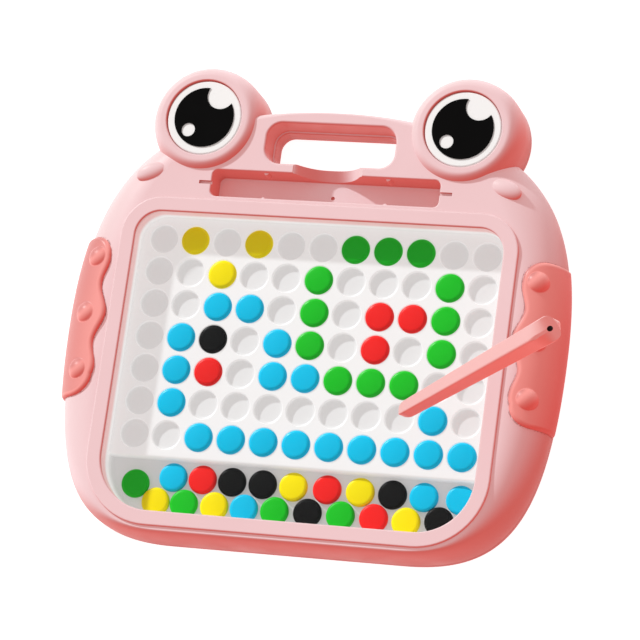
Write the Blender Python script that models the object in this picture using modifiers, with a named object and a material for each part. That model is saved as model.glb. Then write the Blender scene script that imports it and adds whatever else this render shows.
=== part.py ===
"""Frog-shaped magnetic bead drawing board: a two-part case with eyes and a handle, a bead tray under a
clear window, loose beads, and a pen with a magnet in its tip. Metres, +Z out of the drawing face."""

import math

import bmesh
import bpy
from mathutils import Matrix, Vector

# Board: cups on a square pitch. Board x and y are counted from the middle cup, (5, 3).
COLUMNS = 11
ROWS = 7
PITCH = 0.017
BOARD_Y = -0.018            # middle cup, from the case's centre
GAP = 0.0003                # between touching pieces

# Heights above the table
PART_LINE = 0.0060          # where the two case halves meet
WIDEST = 0.0075             # top of the straight side
DECK = 0.0278               # flat front of the case
BEZEL = 0.0290              # raised band round the window
EYE_RIM = 0.0306
WALL = 0.0022
WINDOW_TOP = 0.0275
WINDOW_THICKNESS = 0.0020
PLATE_TOP = 0.0155          # face of the bead tray
CUP_DEPTH = 0.0026
FLOOR_THICKNESS = 0.0015    # under the cups and the trough
TROUGH_FLOOR = 0.0089

# Beads and cups
BEAD_RADIUS = 0.0073
BEAD_HEIGHT = 0.0038
BEAD_EDGE = 0.0011          # chamfer round a bead's top
CUP_RADIUS = 0.0079
BEAD_SIDES = 12
CUP_SIDES = 12

# Window opening and the bezel round it: low x, high x, low y, high y on the board
OPENING = (-0.0962, 0.0962, -0.0924, 0.0620)
OPENING_TOP_RADIUS = 0.0130
OPENING_FOOT_RADIUS = 0.0280
BEZEL_BAND = 0.0076
TROUGH_EDGE = -0.0628       # front edge of the cup plate

# Case outline, right half, on the board: anchors with their Bezier handles
FOOT = (0.060, -0.105)
SIDE = (0.1284, 0.005)
CROWN = (0.0, 0.1210)
OUTER_FOOT_HANDLES = ((0.110, -0.105), (0.1284, -0.080))
OUTER_CROWN_HANDLES = ((0.1284, 0.094), (0.0920, 0.1210))
DECK_FOOT = (0.060, -0.1015)
DECK_SIDE = (0.105, 0.005)
DECK_CROWN = (0.0, 0.1175)
DECK_FOOT_HANDLES = ((0.098, -0.1015), (0.105, -0.088))
DECK_CROWN_HANDLES = ((0.105, 0.075), (0.080, 0.1175))
FOOT_STEPS = 9
CROWN_STEPS = 13

# Eyes
EYE = (0.068, 0.1122)
EYE_BASE_RADIUS = 0.0295
EYE_DISC_RADIUS = 0.0198
PUPIL_RADIUS = 0.0158
PUPIL_THICKNESS = 0.0003
DISC_FLOOR = 0.0276
DISC_TOP = 0.0298
BIG_GLINT = (0.0075, 0.0120, 0.0073)     # x and y from the eye's centre, radius
SMALL_GLINT = (-0.0075, -0.0070, 0.0036)

# Handle, pen slot and the notch for a finger between them
HANDLE = (-0.034, 0.034, 0.0905, 0.1122)
HANDLE_RADIUS = 0.008
SLOT = (-0.0598, 0.0598, 0.0716, 0.0856)
SLOT_RADIUS = 0.003
SLOT_FLOOR = 0.0138
NOTCH = (-0.017, 0.018, 0.080, 0.095)
NOTCH_FLOOR = 0.0178
NOTCH_WEB = (-0.022, 0.023, 0.0846, 0.0915)     # solid between slot and handle, under the notch
SLIT_LENGTH = 0.006
SLIT_WIDTH = 0.0012
NUB_RADIUS = 0.0013
NUB_X = 0.032
TETHER_HOLE = (0.0010, 0.0775, 0.0010)

# Cheek bumps beside the eyes
CHEEK = (0.093, 0.083)
CHEEK_SIZE = (0.0075, 0.0045, 0.0030)

# Side grips
GRIP_SPAN = (-0.0362, 0.0478)
GRIP_EDGE = 0.1075
GRIP_WAVE = 0.0020
GRIP_WAVE_LENGTH = 0.0295
GRIP_BOW = 0.0035           # how far the ends of the wavy edge fall back
GRIP_PEAK_Y = 0.007
GRIP_THICKNESS = 0.0019
GRIP_FOOT = 0.0070
GRIP_CORNER = 0.011
GRIP_BUMP_RADIUS = 0.0042
GRIP_BUMP_X = 0.1165

# Case screws, entered from the back
SCREWS = ((-0.0965, -0.0905), (0.0965, -0.0905), (-0.1130, 0.0050), (0.1130, 0.0050), (-0.1000, 0.0720), (0.1000, 0.0720))
POST_RADIUS = 0.0036
SCREW_HEAD_RADIUS = 0.0026
SCREW_SHANK_RADIUS = 0.0012
SCREW_HEAD = (0.0012, 0.0030)
SCREW_END = 0.0140

# Back half
BACK_EDGE = 0.004           # rounding from the flat back to the side
RIB_PLACES = (-0.060, 0.0, 0.060)
RIB_HALF_WIDTH = 0.001
RIB_SPAN = (-0.056, 0.058)

# Pen, drawn along +X from its tip and then laid on the window
PEN_LENGTH = 0.1155
PEN_TIP_SIDE = 0.0052
PEN_TAIL_SIDE = 0.0099
PEN_AXIS = (0.745, 0.270, 0.610)
PEN_RIDGE = (-0.352, -0.617, 0.704)
PEN_TIP_AT = (0.0569, -0.0351)
PEN_CAP = 0.009
PEN_EYELET = 0.0012
MAGNET_RADIUS = 0.0014
MAGNET_SPAN = (0.0105, 0.0205)

COLOURS = {
    "blue": (0.011, 0.513, 0.871),
    "green": (0.023, 0.352, 0.027),
    "red": (0.910, 0.027, 0.032),
    "yellow": (0.956, 0.831, 0.0),
    "black": (0.017, 0.017, 0.015),
}

# The picture laid out in the cups: row, then the columns of each colour
PICTURE = (
    (0, {"yellow": (1, 3), "green": (6, 7, 8)}),
    (1, {"yellow": (2,), "green": (5, 9)}),
    (2, {"blue": (2, 3), "green": (5, 9), "red": (7, 8)}),
    (3, {"blue": (1, 4), "black": (2,), "green": (5, 9), "red": (7,)}),
    (4, {"blue": (1, 4, 5), "red": (2,), "green": (6, 7, 8)}),
    (5, {"blue": (1, 9)}),
    (6, {"blue": (2, 3, 4, 5, 6, 7, 8, 9, 10)}),
)

# Spare beads lying in the trough: board x and y in mm. Each group is one piece here.
TROUGH_GROUPS = {
    "left": ((-82, -76), (-70, -84.5), (-62.5, -71.5), (-55, -84.5), (-47, -71.5), (-39, -84.5), (-31.5, -71.5)),
    "middle": ((-23.5, -84.5), (-15.5, -71.5), (-7.5, -84.5), (0.5, -71.5), (9.5, -84), (18, -71.5), (26.5, -84)),
    "right": ((35, -71.5), (43.5, -84), (51.5, -71.5), (60, -84.5), (67.5, -71.5), (76.5, -83), (86, -71.5)),
}
LINK_WIDTH = 0.003
LINK_SPAN = (0.0010, 0.0028)    # above the beads' feet


# ---------------------------------------------------------------- scene, collections and materials

def clear_scene():
    for obj in list(bpy.data.objects):
        bpy.data.objects.remove(obj, do_unlink=True)


def new_collection(name, hidden=False):
    collection = bpy.data.collections.new(name)
    bpy.context.scene.collection.children.link(collection)
    collection.hide_render = hidden
    return collection


def plastic(name, colour, roughness=0.35, metallic=0.0, alpha=1.0):
    material = bpy.data.materials.new(name)
    material.use_nodes = True
    shader = material.node_tree.nodes["Principled BSDF"]
    shader.inputs["Base Color"].default_value = (*colour, 1.0)
    shader.inputs["Roughness"].default_value = roughness
    shader.inputs["Metallic"].default_value = metallic
    shader.inputs["Alpha"].default_value = alpha
    return material


def place(name, mesh, material=None):
    """An object of the board, or a cutter where it has no material."""
    obj = bpy.data.objects.new(name, mesh)
    if material is None:
        CUTTERS.objects.link(obj)
        obj.hide_render = True
        obj.display_type = "WIRE"
    else:
        BOARD.objects.link(obj)
        mesh.materials.clear()
        mesh.materials.append(material)
    obj.location.y = BOARD_Y
    return obj


def boolean(obj, operation, other):
    modifier = obj.modifiers.new(operation.lower(), "BOOLEAN")
    modifier.operation = operation
    modifier.object = other
    modifier.solver = "EXACT"


def cut(obj, *cutters):
    for cutter in cutters:
        boolean(obj, "DIFFERENCE", cutter)


def join(obj, *others):
    for other in others:
        boolean(obj, "UNION", other)


# ---------------------------------------------------------------- outlines

def arc(centre, radius, start, end, steps):
    """Points along an arc, angles in degrees, both ends included."""
    angles = [math.radians(start + (end - start) * i / steps) for i in range(steps + 1)]
    return [(centre[0] + radius * math.cos(a), centre[1] + radius * math.sin(a)) for a in angles]


def rounded_box(box, foot_radius, top_radius, grow=0.0, steps=5):
    """A rectangle with round corners, anticlockwise, its sides moved out by grow."""
    low_x, high_x, low_y, high_y = box[0] - grow, box[1] + grow, box[2] - grow, box[3] + grow
    foot = foot_radius + grow
    top = top_radius + grow
    return (
        arc((high_x - foot, low_y + foot), foot, -90, 0, steps)
        + arc((high_x - top, high_y - top), top, 0, 90, steps)
        + arc((low_x + top, high_y - top), top, 90, 180, steps)
        + arc((low_x + foot, low_y + foot), foot, 180, 270, steps)
    )


def opening_outline(grow=0.0, steps=7):
    return rounded_box(OPENING, OPENING_FOOT_RADIUS, OPENING_TOP_RADIUS, grow, steps)


def bezier(start, first, second, end, steps):
    """Points after the start of a cubic curve, its end included."""
    points = []
    for i in range(1, steps + 1):
        t = i / steps
        weights = ((1 - t) ** 3, 3 * t * (1 - t) ** 2, 3 * t * t * (1 - t), t ** 3)
        corners = (start, first, second, end)
        points.append(tuple(sum(w * c[k] for w, c in zip(weights, corners)) for k in (0, 1)))
    return points


def egg(foot, foot_handles, side, crown_handles, crown):
    """The case's closed outline, anticlockwise from the middle of its foot."""
    half = [(0.0, foot[1]), (foot[0] / 2, foot[1]), foot]
    half += bezier(foot, *foot_handles, side, FOOT_STEPS)
    half += bezier(side, *crown_handles, crown, CROWN_STEPS)
    return half + [(-x, y) for x, y in reversed(half[1:-1])]


def outer_egg():
    return egg(FOOT, OUTER_FOOT_HANDLES, SIDE, OUTER_CROWN_HANDLES, CROWN)


def deck_egg():
    return egg(DECK_FOOT, DECK_FOOT_HANDLES, DECK_SIDE, DECK_CROWN_HANDLES, DECK_CROWN)


def grown(outline, distance):
    """The outline moved out along its normals."""
    moved = []
    for i, (x, y) in enumerate(outline):
        before = outline[i - 1]
        after = outline[(i + 1) % len(outline)]
        run = math.hypot(after[0] - before[0], after[1] - before[1])
        moved.append((x + distance * (after[1] - before[1]) / run, y - distance * (after[0] - before[0]) / run))
    return moved


# ---------------------------------------------------------------- solids

def loft(name, rings, material=None):
    """A closed solid through rings of equal counts, lowest first, each a list of points in space."""
    bm = bmesh.new()
    loops = [[bm.verts.new(p) for p in ring] for ring in rings]
    for lower, upper in zip(loops, loops[1:]):
        for i in range(len(lower)):
            j = (i + 1) % len(lower)
            bm.faces.new((lower[i], lower[j], upper[j], upper[i]))
    bm.faces.new(list(reversed(loops[0])))
    bm.faces.new(loops[-1])
    mesh = bpy.data.meshes.new(name)
    bm.to_mesh(mesh)
    bm.free()
    return place(name, mesh, material)


def prism(name, outline, low, high, material=None):
    return loft(name, [[(x, y, z) for x, y in outline] for z in (low, high)], material)


def prisms(name, outlines, low, high):
    """Cutters of one height that don't touch each other, in one object."""
    bm = bmesh.new()
    for outline in outlines:
        lower = [bm.verts.new((x, y, low)) for x, y in outline]
        upper = [bm.verts.new((x, y, high)) for x, y in outline]
        for i in range(len(outline)):
            j = (i + 1) % len(outline)
            bm.faces.new((lower[i], lower[j], upper[j], upper[i]))
        bm.faces.new(list(reversed(lower)))
        bm.faces.new(upper)
    mesh = bpy.data.meshes.new(name)
    bm.to_mesh(mesh)
    bm.free()
    return place(name, mesh)


def circle(centre, radius, sides):
    return arc(centre, radius, 0, 360 * (1 - 1 / sides), sides - 1)


def rectangle(low_x, high_x, low_y, high_y):
    return [(low_x, low_y), (high_x, low_y), (high_x, high_y), (low_x, high_y)]


def turned(name, profile, centre, sides, material=None):
    """A solid of revolution. The profile is (radius, height), top to bottom, both ends on the axis."""
    mesh = bpy.data.meshes.new(name)
    points = [(r, 0.0, z) for r, z in profile]
    mesh.from_pydata(points, [(i, i + 1) for i in range(len(points) - 1)], [])
    obj = place(name, mesh, material)
    obj.location.x = centre[0]
    obj.location.y += centre[1]
    screw = obj.modifiers.new("turn", "SCREW")
    screw.steps = sides
    screw.render_steps = sides
    screw.use_merge_vertices = True
    screw.merge_threshold = 0.00001
    screw.use_smooth_shade = False
    return obj


def ball(name, centre, size, turn=None):
    """An ellipsoid with the half axes in size, turned by the matrix."""
    bm = bmesh.new()
    bmesh.ops.create_uvsphere(bm, u_segments=14, v_segments=8, radius=1.0)
    bmesh.ops.scale(bm, vec=size, verts=bm.verts)
    if turn:
        bmesh.ops.transform(bm, matrix=turn, verts=bm.verts)
    bmesh.ops.translate(bm, vec=centre, verts=bm.verts)
    mesh = bpy.data.meshes.new(name)
    bm.to_mesh(mesh)
    bm.free()
    return place(name, mesh)


# ---------------------------------------------------------------- case

def flank_rings(outer, deck, low, top, steps):
    """Straight up from low to WIDEST, then a quarter ellipse in to the deck's outline at top."""
    rings = [[(x, y, low) for x, y in outer]]
    for i in range(steps + 1):
        angle = math.pi / 2 * i / steps
        share = math.cos(angle)
        height = WIDEST + (top - WIDEST) * math.sin(angle)
        rings.append([(d[0] + (o[0] - d[0]) * share, d[1] + (o[1] - d[1]) * share, height) for o, d in zip(outer, deck)])
    return rings


def flank_height(share):
    """Height of the flank where it is this share of the way from the deck's outline to the outer one."""
    return WIDEST + (DECK - WIDEST) * math.sqrt(1 - share * share)


def back_rings(outer, edge, top):
    """From a flat back, inset by the edge radius, round to the full outline."""
    rings = []
    for step in range(4):
        angle = math.pi / 6 * step
        rings.append([(x, y, edge * (1 - math.cos(angle))) for x, y in grown(outer, -edge * (1 - math.sin(angle)))])
    return rings + [[(x, y, top) for x, y in outer]]


def eye_profile(low, cavity=False):
    if cavity:
        return ((0, DECK - WALL), (0.0240, DECK - WALL), (0.0262, 0.0210), (0.0271, 0.0120), (0.0271, low), (0, low))
    return (
        (0, EYE_RIM), (0.0240, EYE_RIM), (0.0258, 0.0299), (0.0274, 0.0278), (0.0287, 0.0235),
        (EYE_BASE_RADIUS, 0.0160), (EYE_BASE_RADIUS, low), (0, low),
    )


def eye_foot_profile(top):
    return ((0, top), (EYE_BASE_RADIUS, top), (EYE_BASE_RADIUS, 0.0040), (0.0280, 0.0012), (0.0255, 0), (0, 0))


def sides():
    return ((-1, "left"), (1, "right"))


def handle_outline(grow=0.0):
    return rounded_box(HANDLE, HANDLE_RADIUS, HANDLE_RADIUS, grow, 4)


def slot_outline(grow=0.0):
    return rounded_box(SLOT, SLOT_RADIUS, SLOT_RADIUS, grow, 2)


def case_cavity():
    """The hollow of the front half, with the walls of the slot, the handle and the screw posts left standing."""
    outer = grown(outer_egg(), -WALL - 0.0002)
    deck = grown(deck_egg(), -WALL)
    cavity = loft("cavity", flank_rings(outer, deck, PART_LINE - 0.002, DECK - WALL, 5))
    for sign, side in sides():
        join(cavity, turned(side + "_eye_cavity", eye_profile(PART_LINE - 0.002, True), (sign * EYE[0], EYE[1]), 28))
    cut(cavity, prisms("handle_wall", [handle_outline(WALL)], 0.0, 0.04))
    cut(cavity, prisms("slot_wall", [slot_outline(WALL)], SLOT_FLOOR - WALL, 0.04))
    cut(cavity, prisms("notch_web", [rectangle(*NOTCH_WEB)], SLOT_FLOOR, 0.04))
    cut(cavity, prisms("post_wall", [circle(at, POST_RADIUS, 12) for at in SCREWS], 0.0, 0.04))
    return cavity


def front_shell(pink):
    shell = loft("front_shell", flank_rings(outer_egg(), deck_egg(), PART_LINE + GAP / 2, DECK, 6), pink)
    join(shell, prism("bezel_band", opening_outline(BEZEL_BAND), DECK - 0.002, BEZEL))
    for sign, side in sides():
        join(shell, turned(side + "_eye_bulge", eye_profile(PART_LINE + GAP / 2), (sign * EYE[0], EYE[1]), 32))
        tilt = Matrix.Rotation(math.radians(-20 * sign), 4, "Z")
        join(shell, ball(side + "_cheek", (sign * CHEEK[0], CHEEK[1], 0.0262), CHEEK_SIZE, tilt))
    cut(shell, case_cavity())
    cut(shell, prism("window_pocket", opening_outline(0.0041), DECK - WALL - 0.001, WINDOW_TOP + GAP))
    cut(shell, prism("window_opening", opening_outline(), 0.015, 0.035))
    cut(shell, prism("handle_hole", handle_outline(), -0.01, 0.04))
    cut(shell, prism("pen_slot", slot_outline(), SLOT_FLOOR, 0.04))
    cut(shell, prism("finger_notch", rounded_box(NOTCH, 0.003, 0.003, 0, 3), NOTCH_FLOOR, 0.04))
    slit_y = (SLOT[2] + SLOT[3]) / 2
    slits = [rectangle(sign * SLOT[1] - SLIT_LENGTH, sign * SLOT[1] + SLIT_LENGTH, slit_y - SLIT_WIDTH / 2,
                       slit_y + SLIT_WIDTH / 2) for sign in (-1, 1)]
    cut(shell, prisms("cord_slits", slits, DECK - 0.0015, 0.04))
    cut(shell, prism("tether_hole", circle(TETHER_HOLE[:2], TETHER_HOLE[2], 10), 0.0, 0.02))
    cut(shell, prisms("eye_recesses", [circle((s * EYE[0], EYE[1]), EYE_DISC_RADIUS + GAP, 32) for s in (-1, 1)],
                      DISC_FLOOR - GAP, 0.04))
    cut(shell, prisms("screw_pilots", [circle(at, SCREW_SHANK_RADIUS + GAP, 8) for at in SCREWS], 0.0, SCREW_END + 0.001))
    for sign in (-1, 1):
        for wall in (SLOT[2], SLOT[3]):
            nub = "slot_nub_%d_%d" % (sign, round(wall * 1000))
            join(shell, prism(nub, circle((sign * NUB_X, wall), NUB_RADIUS, 8), 0.0190, 0.0255))
    return shell


def back_shell(pink):
    top = PART_LINE - GAP / 2
    shell = loft("back_shell", back_rings(outer_egg(), BACK_EDGE, top), pink)
    for sign, side in sides():
        join(shell, turned(side + "_eye_foot", eye_foot_profile(top), (sign * EYE[0], EYE[1]), 32))
    cavity = prism("back_cavity", grown(outer_egg(), -WALL - 0.002), WALL, 0.03)
    for sign, side in sides():
        profile = ((0, 0.03), (0.0271, 0.03), (0.0271, 0.004), (0.0255, WALL), (0, WALL))
        join(cavity, turned(side + "_eye_foot_cavity", profile, (sign * EYE[0], EYE[1]), 28))
    cut(cavity, prisms("back_handle_wall", [handle_outline(WALL)], -0.01, 0.04))
    cut(cavity, prisms("back_bosses", [circle(at, POST_RADIUS, 12) for at in SCREWS], -0.01, 0.04))
    ribs = [rectangle(x - RIB_HALF_WIDTH, x + RIB_HALF_WIDTH, *RIB_SPAN) for x in RIB_PLACES]
    cut(cavity, prisms("back_ribs", ribs, -0.01, PLATE_TOP - CUP_DEPTH - FLOOR_THICKNESS - GAP))
    cut(shell, cavity)
    cut(shell, prism("back_handle_hole", handle_outline(), -0.01, 0.04))
    cut(shell, prisms("screw_heads", [circle(at, SCREW_HEAD_RADIUS + GAP, 12) for at in SCREWS], -0.01, SCREW_HEAD[1] + GAP))
    cut(shell, prisms("screw_holes", [circle(at, SCREW_SHANK_RADIUS + GAP, 8) for at in SCREWS], -0.01, 0.02))
    return shell


# ---------------------------------------------------------------- inside the window

def cup_centre(row, column):
    return ((column - COLUMNS // 2) * PITCH, (ROWS // 2 - row) * PITCH)


def bead_tray(white):
    """One moulding: a cup plate, the trough below it and a wall all round up to the window."""
    rim = WINDOW_TOP - WINDOW_THICKNESS - GAP
    tray = prism("bead_tray", opening_outline(0.0029), TROUGH_FLOOR - FLOOR_THICKNESS, rim, white)
    chamber = opening_outline(0.0006)
    cut(tray, prism("chamber", chamber, PLATE_TOP, 0.04))
    trough = prism("trough", chamber, TROUGH_FLOOR, 0.04)
    boolean(trough, "INTERSECT", prism("trough_limit", rectangle(-0.2, 0.2, -0.2, TROUGH_EDGE), -0.01, 0.05))
    cut(tray, trough)
    cut(tray, prism("tray_underside", rectangle(-0.2, 0.2, TROUGH_EDGE + 0.002, 0.2), -0.01,
                    PLATE_TOP - CUP_DEPTH - FLOOR_THICKNESS))
    cups = [circle(cup_centre(r, c), CUP_RADIUS, CUP_SIDES) for r in range(ROWS) for c in range(COLUMNS)]
    cut(tray, prisms("cups", cups, PLATE_TOP - CUP_DEPTH, 0.02))
    return tray


def window_panel(clear):
    return prism("window_panel", opening_outline(0.0038), WINDOW_TOP - WINDOW_THICKNESS, WINDOW_TOP, clear)


def bead_profile(low):
    return (
        (0, low + BEAD_HEIGHT), (BEAD_RADIUS - BEAD_EDGE, low + BEAD_HEIGHT), (BEAD_RADIUS, low + BEAD_HEIGHT - BEAD_EDGE),
        (BEAD_RADIUS, low), (0, low),
    )


def beads(materials):
    low = PLATE_TOP - CUP_DEPTH + GAP
    for row, colours in PICTURE:
        for colour, columns in colours.items():
            for column in columns:
                name = "bead_r%d_c%d_%s" % (row + 1, column + 1, colour)
                turned(name, bead_profile(low), cup_centre(row, column), BEAD_SIDES, materials[colour])


def trough_beads(material):
    """Spare beads, each group held together by thin links between neighbours."""
    low = TROUGH_FLOOR + GAP
    for group, places in TROUGH_GROUPS.items():
        centres = [(x / 1000, y / 1000) for x, y in places]
        first = centres[0]
        cluster = turned("trough_beads_" + group, bead_profile(low), first, 12, material)
        for i, centre in enumerate(centres[1:]):
            join(cluster, turned("%s_bead_%d" % (group, i + 2), bead_profile(low), centre, 12))
        for i, (a, b) in enumerate(zip(centres, centres[1:])):
            length = math.hypot(b[0] - a[0], b[1] - a[1])
            nx = -(b[1] - a[1]) / length * LINK_WIDTH / 2
            ny = (b[0] - a[0]) / length * LINK_WIDTH / 2
            corners = [(a[0] - nx, a[1] - ny), (b[0] - nx, b[1] - ny), (b[0] + nx, b[1] + ny), (a[0] + nx, a[1] + ny)]
            join(cluster, prism("%s_link_%d" % (group, i + 1), corners, *(low + z for z in LINK_SPAN)))


# ---------------------------------------------------------------- eyes and grips

def eyes(white, black):
    for sign, side in sides():
        at = (sign * EYE[0], EYE[1])
        profile = (
            (0, DISC_TOP), (EYE_DISC_RADIUS - 0.0008, DISC_TOP), (EYE_DISC_RADIUS, DISC_TOP - 0.0008),
            (EYE_DISC_RADIUS, DISC_FLOOR), (0, DISC_FLOOR),
        )
        turned(side + "_eye_disc", profile, at, 32, white)
        low = DISC_TOP + 0.0002
        pupil = prism(side + "_pupil", circle(at, PUPIL_RADIUS, 32), low, low + PUPIL_THICKNESS, black)
        glints = [circle((at[0] + x, at[1] + y), r, 16) for x, y, r in (BIG_GLINT, SMALL_GLINT)]
        cut(pupil, prisms(side + "_glints", glints, 0.02, 0.04))


def grip_plan(sign):
    """The grip seen from the front: a wavy inner edge, round ends, and past the case's side."""
    low, high = GRIP_SPAN
    steps = 22
    points = []
    for i in range(steps + 1):
        y = low + GRIP_CORNER + (high - low - 2 * GRIP_CORNER) * i / steps
        wave = GRIP_WAVE * math.cos(2 * math.pi * (y - GRIP_PEAK_Y) / GRIP_WAVE_LENGTH)
        x = GRIP_EDGE - wave + GRIP_BOW * ((y - GRIP_PEAK_Y) / (high - GRIP_PEAK_Y)) ** 2
        points.append((x, y))
    top = arc((points[-1][0] + GRIP_CORNER, points[-1][1]), GRIP_CORNER, 180, 90, 5)[1:]
    foot = arc((points[0][0] + GRIP_CORNER, points[0][1]), GRIP_CORNER, 270, 180, 5)[:-1]
    plan = [(0.150, low)] + foot + points + top + [(0.150, high)]
    plan = [(sign * x, y) for x, y in plan]
    return plan if sign < 0 else list(reversed(plan))


def flank_solid(name, grow, low, material=None):
    """The case's flank with its surface moved out by grow."""
    outer = grown(outer_egg(), grow)
    deck = grown(deck_egg(), 0.2 * grow)
    return loft(name, flank_rings(outer, deck, low, DECK + grow * 0.8, 6), material)


def grips(coral):
    for sign, side in sides():
        grip = flank_solid(side + "_grip", GRIP_THICKNESS, GRIP_FOOT, coral)
        boolean(grip, "INTERSECT", prism(side + "_grip_plan", grip_plan(sign), -0.01, 0.05))
        share = (GRIP_BUMP_X - DECK_SIDE[0]) / (SIDE[0] - DECK_SIDE[0])
        turn = Matrix.Rotation(sign * math.radians(25), 4, "Y")
        for i in (-1, 0, 1):
            y = GRIP_PEAK_Y + i * GRIP_WAVE_LENGTH
            size = (GRIP_BUMP_RADIUS, GRIP_BUMP_RADIUS, 0.0030)
            centre = (sign * GRIP_BUMP_X, y, flank_height(share) + 0.0012)
            join(grip, ball("%s_grip_bump_%d" % (side, i + 2), centre, size, turn))
        cut(grip, flank_solid(side + "_grip_seat", GAP, 0.0))


# ---------------------------------------------------------------- screws and pen

def screws(steel):
    low, high = SCREW_HEAD
    for i, at in enumerate(SCREWS):
        profile = (
            (0, SCREW_END), (SCREW_SHANK_RADIUS, SCREW_END), (SCREW_SHANK_RADIUS, high), (SCREW_HEAD_RADIUS, high),
            (SCREW_HEAD_RADIUS, low + 0.0006), (SCREW_HEAD_RADIUS - 0.0006, low), (0, low),
        )
        turned("case_screw_%d" % (i + 1), profile, at, 10, steel)


def pen_section(x, side, corner):
    """A square on its corner, with small flats on its edges: its ridge is up."""
    reach = side / math.sqrt(2)
    flat = corner / math.sqrt(2)
    ring = []
    for k in range(4):
        angle = math.pi / 2 * k
        along = Vector((math.cos(angle), math.sin(angle)))
        across = Vector((-math.sin(angle), math.cos(angle)))
        for turn in (-1, 1):
            point = along * (reach - flat) + across * flat * turn
            ring.append((x, point.x, point.y))
    return ring


def pen_side(x):
    return PEN_TIP_SIDE + (PEN_TAIL_SIDE - PEN_TIP_SIDE) * x / PEN_LENGTH


def pen_matrix():
    axis = Vector(PEN_AXIS).normalized()
    ridge = Vector(PEN_RIDGE)
    ridge = (ridge - axis * ridge.dot(axis)).normalized()
    across = ridge.cross(axis)
    turn = Matrix((axis, across, ridge)).transposed().to_4x4()
    return turn


def pen(coral, steel):
    tail = PEN_LENGTH
    rings = [pen_section(x, pen_side(x) * k, 0.0010) for x, k in
             ((PEN_CAP + GAP, 1.0), (tail - 0.0050, 1.0), (tail - 0.0020, 0.92), (tail - 0.0005, 0.74), (tail, 0.50))]
    body = loft("pen_body", rings, coral)
    cap_rings = [pen_section(x, pen_side(x) * k, 0.0010 * k) for x, k in
                 ((0.0, 0.45), (0.0008, 0.74), (0.0024, 0.93), (0.0045, 1.0), (PEN_CAP, 1.0))]
    cap = loft("pen_tip", cap_rings, coral)
    magnet_low, magnet_high = MAGNET_SPAN
    bore = MAGNET_RADIUS + GAP
    pocket = loft("magnet_pocket", [[(x, y, z) for y, z in circle((0, 0), bore, 10)] for x in (0.0, magnet_high + GAP)])
    cut(body, pocket)
    magnet = loft("pen_magnet", [[(x, y, z) for y, z in circle((0, 0), MAGNET_RADIUS, 10)] for x in MAGNET_SPAN], steel)
    facet = loft("tail_facet", [[(x, y, 0.0) for x, y in rectangle(-0.004, 0.03, -0.01, 0.01)],
                                [(x, y, 0.02) for x, y in rectangle(-0.004, 0.03, -0.01, 0.01)]])
    eyelet = loft("tail_eyelet", [[(x, y, z) for x, y in circle((0, 0), PEN_EYELET, 10)] for z in (-0.02, 0.02)])
    cut(body, facet, eyelet)
    turn = pen_matrix()
    lowest = min((turn @ Vector(p)).z for ring in cap_rings for p in ring)
    origin = Vector((PEN_TIP_AT[0], PEN_TIP_AT[1] + BOARD_Y, WINDOW_TOP + GAP - lowest))
    whole = Matrix.Translation(origin) @ turn
    for obj in (body, cap, pocket, magnet):
        obj.matrix_world = whole
    slope = Matrix.Rotation(math.radians(38), 4, "Y")
    facet.matrix_world = whole @ Matrix.Translation((tail - 0.0085, 0, 0.0062)) @ slope
    eyelet.matrix_world = whole @ Matrix.Translation((tail - 0.0044, 0, 0.0030)) @ slope


# ---------------------------------------------------------------- build

clear_scene()
BOARD = new_collection("frog_bead_board")
CUTTERS = new_collection("cutters", hidden=True)

pink = plastic("pink_abs", (0.88, 0.60, 0.61), 0.38)
coral = plastic("coral_abs", (0.78, 0.13, 0.11), 0.35)
white = plastic("white_abs", (0.85, 0.84, 0.84), 0.40)
clear = plastic("clear_acrylic", (0.95, 0.96, 0.97), 0.05, alpha=0.25)
gloss_white = plastic("gloss_white", (0.88, 0.88, 0.88), 0.15)
gloss_black = plastic("gloss_black", (0.004, 0.004, 0.004), 0.15)
steel = plastic("zinc_steel", (0.55, 0.55, 0.56), 0.35, 1.0)
bead_plastic = {colour: plastic("bead_" + colour, rgb, 0.30) for colour, rgb in COLOURS.items()}

front_shell(pink)
back_shell(pink)
bead_tray(white)
window_panel(clear)
beads(bead_plastic)
trough_beads(bead_plastic["blue"])
eyes(gloss_white, gloss_black)
grips(coral)
screws(steel)
pen(coral, steel)
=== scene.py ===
"""Frog-shaped magnetic bead board: a moulded case with eyes, a carry handle and wavy side grips, a bead
tray under a clear window, loose beads, and a pen lying on the window. Metres, +Z out of the drawing face."""

import math

import bpy
import numpy as np
from mathutils import Matrix, Vector


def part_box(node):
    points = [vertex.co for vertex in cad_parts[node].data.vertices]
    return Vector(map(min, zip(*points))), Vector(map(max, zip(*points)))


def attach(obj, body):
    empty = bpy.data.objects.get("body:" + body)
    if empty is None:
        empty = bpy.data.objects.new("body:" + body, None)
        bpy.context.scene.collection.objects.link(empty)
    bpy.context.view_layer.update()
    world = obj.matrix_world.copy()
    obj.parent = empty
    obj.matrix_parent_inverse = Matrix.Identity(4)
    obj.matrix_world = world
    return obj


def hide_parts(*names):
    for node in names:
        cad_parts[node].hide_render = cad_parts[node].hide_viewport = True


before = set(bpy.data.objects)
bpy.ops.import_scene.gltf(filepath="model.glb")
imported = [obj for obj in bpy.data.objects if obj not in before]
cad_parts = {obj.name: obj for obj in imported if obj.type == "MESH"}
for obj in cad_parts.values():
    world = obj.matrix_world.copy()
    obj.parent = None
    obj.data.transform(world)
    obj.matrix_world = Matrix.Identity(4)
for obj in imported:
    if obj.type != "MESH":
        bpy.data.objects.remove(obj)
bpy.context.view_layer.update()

# ---------------------------------------------------------------- sizes
# Places on the board are counted from its middle cup; the panel's top edge fixes that cup in the frame.
PANEL_TOP_EDGE = 0.0658
BOARD_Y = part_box("window_panel")[1][1] - PANEL_TOP_EDGE
COLUMNS, ROWS, PITCH = 11, 7, 0.017
GAP = 0.0003                # between touching pieces
CHAMFER = 0.0003            # on both case halves, where they meet
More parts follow.
